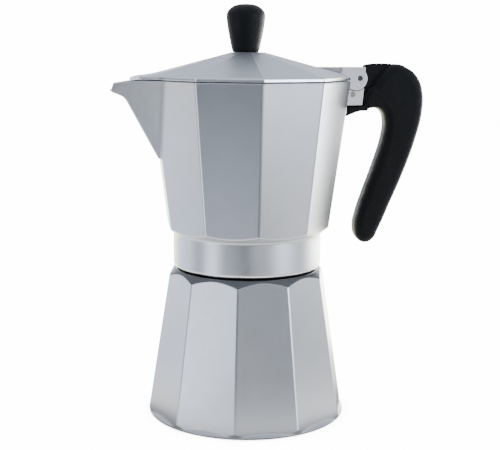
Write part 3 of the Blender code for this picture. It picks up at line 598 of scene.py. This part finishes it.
def plate(name, outline, low_y, high_y, edge, material, body, smooth=False, hole=None):
    """An (x, z) outline, with a round hole or not, extruded along Y with rounded edges.

    A smooth outline's marked corners stay sharp.
    """
    curve = bpy.data.curves.new(name, "CURVE")
    curve.dimensions = "2D"
    curve.fill_mode = "BOTH"
    curve.resolution_u = 10
    curve.extrude = ((high_y - low_y) / 2 - edge) * MM
    curve.bevel_depth = edge * MM
    curve.bevel_resolution = 5
    curve.offset = -edge * MM
    spline = curve.splines.new("BEZIER" if smooth else "POLY")
    knots = spline.bezier_points if smooth else spline.points
    knots.add(len(outline) - 1)
    for knot, place in zip(knots, outline):
        if smooth:
            knot.co = (place[0] * MM, place[1] * MM, 0)
            kind = "VECTOR" if len(place) > 2 else "AUTO"
            knot.handle_left_type = knot.handle_right_type = kind
        else:
            knot.co = (place[0] * MM, place[1] * MM, 0, 1)
    spline.use_cyclic_u = True
    if hole:
        ring = curve.splines.new("POLY")
        around = arc(hole, PIN_R + 0.4 - edge, 360, 0, 40)[:-1]
        ring.points.add(len(around) - 1)
        for knot, place in zip(ring.points, around):
            knot.co = (place[0] * MM, place[1] * MM, 0, 1)
        ring.use_cyclic_u = True
    guide = bpy.data.objects.new(name + "_outline", curve)
    bpy.context.scene.collection.objects.link(guide)
    bpy.context.view_layer.update()
    mesh = bpy.data.meshes.new_from_object(guide.evaluated_get(bpy.context.evaluated_depsgraph_get()))
    bpy.data.objects.remove(guide, do_unlink=True)
    mesh.transform(Matrix.Translation((0, (low_y + high_y) / 2 * MM, 0))
                   @ Matrix.Rotation(math.pi / 2, 4, "X"))
    mesh.materials.clear()
    mesh.materials.append(material)
    mesh.polygons.foreach_set("use_smooth", [True] * len(mesh.polygons))
    made = bpy.data.objects.new(name, mesh)
    bpy.context.scene.collection.objects.link(made)
    weld = made.modifiers.new("weld", "WELD")
    weld.merge_threshold = 0.000002
    made.modifiers.new("shading", "WEIGHTED_NORMAL").keep_sharp = True
    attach(made, body)
    return made


def make_hinge():
    cx = EAR_CENTRE[0]
    corner = math.degrees(math.acos((60.8 - cx) / EAR_R))
    shoulder = arc(EAR_CENTRE, 8.6, 135.8, 172, 8)
    ear = ([(60.8, EAR_TOP_Z)] + shoulder + [(cx - 8.5, LID_Z)]
           + arc(EAR_CENTRE, EAR_R, 183, 360 + corner, 40))
    gap = TONGUE_HALF + 0.3
    # The ears, and the lug's cheeks and root below, take the near-white casting, which is painted highlight.
    for side, low, high in (("rear", gap, LUG_HALF), ("front", -LUG_HALF, -gap)):
        plate("lid_ear_" + side, ear, low, high, 0.35, EAR_METAL_PAINTED_HIGHLIGHT, "lid", hole=HINGE)
    plate("lid_hinge_block", [(31, 181.5), (36, EAR_TOP_Z), (49.0, EAR_TOP_Z), (49.0, 178.6), (31, 178.6)],
          -BLOCK_HALF, BLOCK_HALF, 0.4, CAST, "lid")
    relief = EAR_R + 0.4
    cheek = ([(47.5, 163.3), (59.4, 163.3), (60.2, 171.9)]
             + arc(EAR_CENTRE, relief, -48, -132, 12) + [(47.5, 172.2)])
    for side, low, high in (("rear", gap, LUG_HALF), ("front", -LUG_HALF, -gap)):
        plate("lug_cheek_" + side, cheek, low, high, 0.3, EAR_METAL_PAINTED_HIGHLIGHT, "collector",
              hole=KEEPER)
    plate("lug_root", [(46, 163.3), (50.9, 163.3), (50.9, 172.2), (46, 172.2)], -LUG_HALF, LUG_HALF, 0.3,
          EAR_METAL_PAINTED_HIGHLIGHT, "collector")


def make_handle():
    corner = True
    grip = [(66.6, 162.0), (62.2, 163.1), (60.9, 166.2), (62.2, 169.8), (64.8, 173.4), (67.8, 177.7),
            (72.5, 182.6), (77.4, 184.7), (84.3, 182.6), (89.9, 177.5), (92.6, 169.5), (92.6, 159.5),
            (89.7, 146.4), (83.5, 128.3), (76.2, 110.8), (70.3, 97.2), (67.3, 91.8), (62.9, 90.0),
            (58.9, 92.5), (57.2, 98.5), (58.4, 106.0), (62.2, 117.8), (67.5, 132.8), (71.7, 147.5),
            (72.3, 154.5), (70.5, 160.0)]
    handle = plate("handle_grip", grip, -GRIP_HALF, GRIP_HALF, GRIP_ROUND, PLASTIC, "collector",
                   smooth=True)
    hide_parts("handle")
    arm = [(48.75, 156.6, corner), (49.4, 162.7, corner), (60.2, 162.7, corner), (61.2, 167.9, corner),
           (66.0, 173.0), (71.0, 168.0), (69.6, 162.2), (66.6, 162.1), (59.5, 160.6)]
    plate("handle_arm", arm, 0.05 - GRIP_HALF, GRIP_HALF - 0.05, 2.2, PLASTIC, "collector",
          smooth=True)
    tongue = ([(51.5, 160.0), (51.5, 174.9)] + arc(HINGE, 6.9, 200, 127.1, 12)
              + [(60.9, 182.8), (61.5, 184.2), (65.0, 184.8), (69.5, 185.0), (72.5, 185.0), (76.0, 184.7),
                 (79.5, 183.7), (79.5, 178.0), (66.0, 163.0), (60.0, 161.5)])
    plate("handle_tongue", tongue, -TONGUE_HALF, TONGUE_HALF, 0.6, PLASTIC, "collector")


# ---- round pieces ------------------------------------------------------------------------------
def turned(name, profile, material, body, steps=96, place=None, ring=False):
    """A (radius, height) profile turned about Z, its edges rounded by a small bevel."""
    mesh = bpy.data.meshes.new(name)
    places = [(r * MM, 0, z * MM) for r, z in profile]
    edges = [(i, i + 1) for i in range(len(profile) - 1)] + ([(len(profile) - 1, 0)] if ring else [])
    mesh.from_pydata(places, edges, [])
    mesh.materials.append(material)
    made = bpy.data.objects.new(name, mesh)
    bpy.context.scene.collection.objects.link(made)
    screw = made.modifiers.new("turn", "SCREW")
    screw.steps = screw.render_steps = steps
    screw.use_merge_vertices = True
    screw.merge_threshold = 0.00001
    screw.use_smooth_shade = True
    bevel = made.modifiers.new("round_edges", "BEVEL")
    bevel.width = 0.15 * MM
    bevel.segments = 2
    bevel.limit_method = "ANGLE"
    bevel.angle_limit = math.radians(35)
    if place:
        made.matrix_world = place
    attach(made, body)
    return made


def smooth_profile(points, steps=6):
    """Catmull-Rom curve through (radius, height) points."""
    rows = np.array([points[0], *points, points[-1]], float)
    out = []
    for i in range(1, len(rows) - 2):
        p0, p1, p2, p3 = rows[i - 1:i + 3]
        for t in np.linspace(0, 1, steps, endpoint=False):
            out.append(tuple(0.5 * (2 * p1 + (p2 - p0) * t + (2 * p0 - 5 * p1 + 4 * p2 - p3) * t ** 2
                                    + (3 * p1 - p0 - 3 * p2 + p3) * t ** 3)))
    return out + [tuple(rows[-1])]


def make_knob():
    top, foot = TOP_Z, LID_TOP_Z + 0.06
    crown = smooth_profile([(0, top), (3.4, top - 0.25), (6.1, top - 1.0), (8.4, top - 2.6),
                            (9.75, top - 4.6), (10.0, top - 6.8), (9.7, top - 9.8), (8.8, top - 15.4),
                            (7.15, foot + 1.2)])
    crown = [(max(r, 0.0), min(z, top)) for r, z in crown]
    knob = turned("knob_moulding",
                  crown + [(6.5, foot), (KNOB_POCKET_R, foot), (KNOB_POCKET_R, KNOB_POCKET_TOP_Z),
                           (0, KNOB_POCKET_TOP_Z)],
                  PLASTIC, "lid", 128, Matrix.Translation((KNOB_X * MM, 0, 0)))
    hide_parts("knob")


def make_pins():
    for name, at, half, look in (("hinge_pin", HINGE, 6.05, BLACKENED),
                                 ("handle_pin", KEEPER, 5.9, KEEPER_METAL)):
        place = Matrix.Translation(Vector((at[0], 0, at[1])) * MM) @ Matrix.Rotation(math.pi / 2, 4, "X")
        end = [(0.0, half - 0.2), (0.45, half - 0.2), (0.6, half), (PIN_R - 0.3, half), (PIN_R, half - 0.25)]
        pin = turned(name + "_turned", end + [(r, -z) for r, z in reversed(end)], look, "collector",
                     48, place)
        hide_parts(name)


# ---- carried-over CAD nodes --------------------------------------------------------------------
def finish_cad_nodes():
    looks = {"column": CAST, "filter_plate": TURNED, "funnel": TURNED, "funnel_filter": TURNED,
             "gasket": RUBBER, "knob_insert": BRASS, "knob_screw": STEEL, "knob_washer": STEEL,
             "valve_body": BRASS,
             "valve_cap": BRASS, "valve_spring": STEEL, "valve_stem": STEEL, "valve_washer": FIBRE}
    for name, material in looks.items():
        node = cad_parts[name]
        node.data.materials.clear()
        node.data.materials.append(material)


# ---- studio ------------------------------------------------------------------------------------
CAMERA = (-74.98, -552.04, 195.02)
CAMERA_AIM, CAMERA_ROLL = (0.13535, 0.97640, -0.16832), math.radians(0.44)
CAMERA_LENS, CAMERA_SENSOR = 76.77, 36.0
# Soft boxes and the darker gaps between them, round the pot: (direction in degrees, brightness, tint)
PLAIN, COOL = (1.0, 1.0, 1.0), (0.88, 0.97, 1.15)
PALE, WARM = (1.05, 1.05, 0.9), (1.1, 1.1, 0.7)
FLOOR_NEAR = [(0, 1, PLAIN), (32, 4, PALE), (60, 10, WARM), (82, 9, WARM), (110, 6, WARM),
              (141, 1.5, COOL), (164, 2, COOL), (190, 0, PLAIN), (211, 4, COOL), (226, 0, PLAIN),
              (240, 1, COOL), (262, 0, PLAIN), (287, 0.3, COOL), (302, 0, PLAIN), (317, 1.5, PLAIN),
              (335, 0.8, PLAIN)]
FLOOR_FAR = [(0, 0, PLAIN), (32, 20, PLAIN), (60, 16, PLAIN), (82, 8, PLAIN), (110, 5, WARM),
             (141, 2.5, COOL), (164, 2, PLAIN), (190, 0, PLAIN), (211, 3, PALE), (226, 0, PLAIN),
             (266, 0, PLAIN), (278, 3.5, PLAIN), (290, 0, PLAIN), (302, 3, PLAIN), (317, 2, COOL),
             (335, 0.5, COOL)]
HORIZON = [(0, 0.5, COOL), (32, 10, PLAIN), (60, 10, PLAIN), (82, 8, COOL), (110, 4, COOL),
           (141, 0, PLAIN), (170, 0.5, COOL), (190, 0, PLAIN), (211, 4, COOL), (226, 0, PLAIN),
           (302, 0, PLAIN), (317, 12, COOL), (335, 4, COOL)]
BRIGHTEST = 20.0
OVERHEAD = (0.9, 0.99, 1.13)
# The paper's glow in reflections and as light: dimmed at the pot's foot as painted shade, and raised in a
# ring round the pot as painted light.
PAPER_SHADE_AT_FOOT, PAPER_LIGHT_ROUND_POT = (0.35, 0.35, 0.35), (1.8, 1.8, 1.8)
PAPER_GLOW = 15.0                      # the plain white paper, as the camera sees it
CONTACT_TINT = (0.22, 0.23, 0.24)      # share of the paper's glow left right under the pot
CONTACT_REACH = 9.0                    # how far the soft shadow under the pot reaches
# Distances from the axis in metres between which the floor's zones blend, from the pot outwards
FOOT_ZONE, POT_ZONE, FAR_ZONE = (0.066, 0.08), (0.13, 0.20), (0.30, 0.85)
PAPER_RADIUS, PAPER_SIDES, PAPER_Z = 2.4, 96, -0.0002
OVERHEAD_FROM, OVERHEAD_FULL = math.radians(5), math.radians(14)


class Graph:
    """Short calls for the maths nodes of a world or a floor."""

    def __init__(self, tree):
        self.nodes, self.links = tree.nodes, tree.links

    def feed(self, socket, value):
        if isinstance(value, (int, float)):
            socket.default_value = value
        else:
            self.links.new(value, socket)

    def maths(self, operation, *values):
        node = self.nodes.new("ShaderNodeMath")
        node.operation = operation
        for socket, value in zip(node.inputs, values):
            self.feed(socket, value)
        return node.outputs[0]

    def fade(self, value, full, gone):
        """1 on the full side of a value, smoothly down to 0 on the other."""
        node = self.nodes.new("ShaderNodeMapRange")
        node.interpolation_type = "SMOOTHSTEP"
        for name, number in (("From Min", gone), ("From Max", full)):
            node.inputs[name].default_value = number
        self.feed(node.inputs["Value"], value)
        return node.outputs["Result"]

    def blend(self, factor, first, second):
        node = self.nodes.new("ShaderNodeMix")
        node.data_type = "RGBA"
        self.feed(node.inputs["Factor"], factor)
        for socket, colour in ((node.inputs[6], first), (node.inputs[7], second)):
            if isinstance(colour, tuple):
                socket.default_value = (*colour, 1.0)
            else:
                self.links.new(colour, socket)
        return node.outputs[2]

    def scaled(self, colour, factor):
        node = self.nodes.new("ShaderNodeVectorMath")
        node.operation = "SCALE"
        self.links.new(colour, node.inputs[0])
        node.inputs["Scale"].default_value = factor
        return node.outputs[0]

    def bearing(self, vector):
        """(share of a full turn round the pot, height) of a direction or a place."""
        split = self.nodes.new("ShaderNodeSeparateXYZ")
        self.links.new(vector, split.inputs[0])
        share = self.maths("DIVIDE", self.maths("ARCTAN2", split.outputs[1], split.outputs[0]), math.tau)
        return self.maths("FRACT", self.maths("ADD", share, 1.0)), split.outputs[2]

    def studio(self, share, tones, name):
        """The tones of one ring of soft boxes, blended round the pot."""
        ramp = self.nodes.new("ShaderNodeValToRGB")
        ramp.name = name
        ramp.color_ramp.interpolation = "EASE"
        stops = ramp.color_ramp.elements
        for at, bright, tint in tones[1:]:
            stops.new(at / 360).color = (*(bright * t / BRIGHTEST for t in tint), 1.0)
        for end in (stops[0], stops[len(stops) - 1]):
            end.color = (*(tones[0][1] * t / BRIGHTEST for t in tones[0][2]), 1.0)
        self.links.new(share, ramp.inputs["Fac"])
        return self.scaled(ramp.outputs["Color"], BRIGHTEST)

    def seen(self):
        """1 where the camera looks straight at the paper, 0 in reflections and for its light."""
        return self.nodes.new("ShaderNodeLightPath").outputs["Is Camera Ray"]


def make_stage():
    mesh = bpy.data.meshes.new("floor")
    around = [math.tau * i / PAPER_SIDES for i in range(PAPER_SIDES)]
    ring = [(PAPER_RADIUS * math.cos(a), PAPER_RADIUS * math.sin(a), PAPER_Z) for a in around]
    mesh.from_pydata(ring, [], [list(range(PAPER_SIDES))])
    floor = bpy.data.objects.new("floor", mesh)
    bpy.context.scene.collection.objects.link(floor)
    s = Shader("floor_paper", 0.9)
    g = Graph(s.material.node_tree)
    near = g.nodes.new("ShaderNodeAmbientOcclusion")
    near.inputs["Distance"].default_value = CONTACT_REACH * MM
    shade = g.fade(near.outputs["AO"], 1.0, 0.0)
    white = g.blend(shade, tuple(PAPER_GLOW * c for c in CONTACT_TINT), (PAPER_GLOW,) * 3)
    s.set("Base Color", g.blend(s.span(s.noise(6, 2), 0, 1), (0.02, 0.02, 0.02), (0.03, 0.03, 0.03)))
    share = g.bearing(s.place)[0]
    away = g.nodes.new("ShaderNodeVectorMath")
    away.operation = "LENGTH"
    g.links.new(s.place, away.inputs[0])
    far = g.fade(away.outputs["Value"], FAR_ZONE[1], FAR_ZONE[0])
    tone = g.blend(far, g.studio(share, FLOOR_NEAR, "near_ring"), g.studio(share, FLOOR_FAR, "far_ring"))
    # Painted light in a ring round the pot, and painted shade by its foot, in the paper's glow.
    tone = g.blend(g.fade(away.outputs["Value"], *POT_ZONE), tone, PAPER_LIGHT_ROUND_POT)
    tone = g.blend(g.fade(away.outputs["Value"], *FOOT_ZONE), tone, PAPER_SHADE_AT_FOOT)
    s.set("Emission Color", g.blend(g.seen(), tone, white))
    s.bsdf.inputs["Emission Strength"].default_value = 1.0
    mesh.materials.append(s.material)


def make_world():
    world = bpy.data.worlds.new("studio")
    bpy.context.scene.world = world
    world.use_nodes = True
    g = Graph(world.node_tree)
    share, z = g.bearing(g.nodes.new("ShaderNodeTexCoord").outputs["Generated"])
    overhead = g.fade(z, math.sin(OVERHEAD_FULL), math.sin(OVERHEAD_FROM))
    tone = g.blend(overhead, g.studio(share, HORIZON, "horizon_ring"), OVERHEAD)
    back = world.node_tree.nodes["Background"]
    g.links.new(g.blend(g.seen(), tone, (PAPER_GLOW,) * 3), back.inputs["Color"])
    back.inputs["Strength"].default_value = 1.0


def make_camera():
    """Matches the view of the product picture: a long lens, slightly above the rim."""
    place = Vector(CAMERA) * MM
    forward = Vector(CAMERA_AIM).normalized()
    data = bpy.data.cameras.new("camera")
    data.sensor_width = CAMERA_SENSOR
    data.lens = CAMERA_LENS
    camera = bpy.data.objects.new("camera", data)
    bpy.context.scene.collection.objects.link(camera)
    turn = forward.to_track_quat("-Z", "Y").to_matrix().to_4x4()
    camera.matrix_world = Matrix.Translation(place) @ turn @ Matrix.Rotation(CAMERA_ROLL, 4, "Z")
    bpy.context.scene.camera = camera


make_boiler()
make_collector()
lid = make_lid()
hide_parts("lid")
make_hinge()
make_handle()
make_knob()
make_pins()
finish_cad_nodes()
make_stage()
make_world()
make_camera()
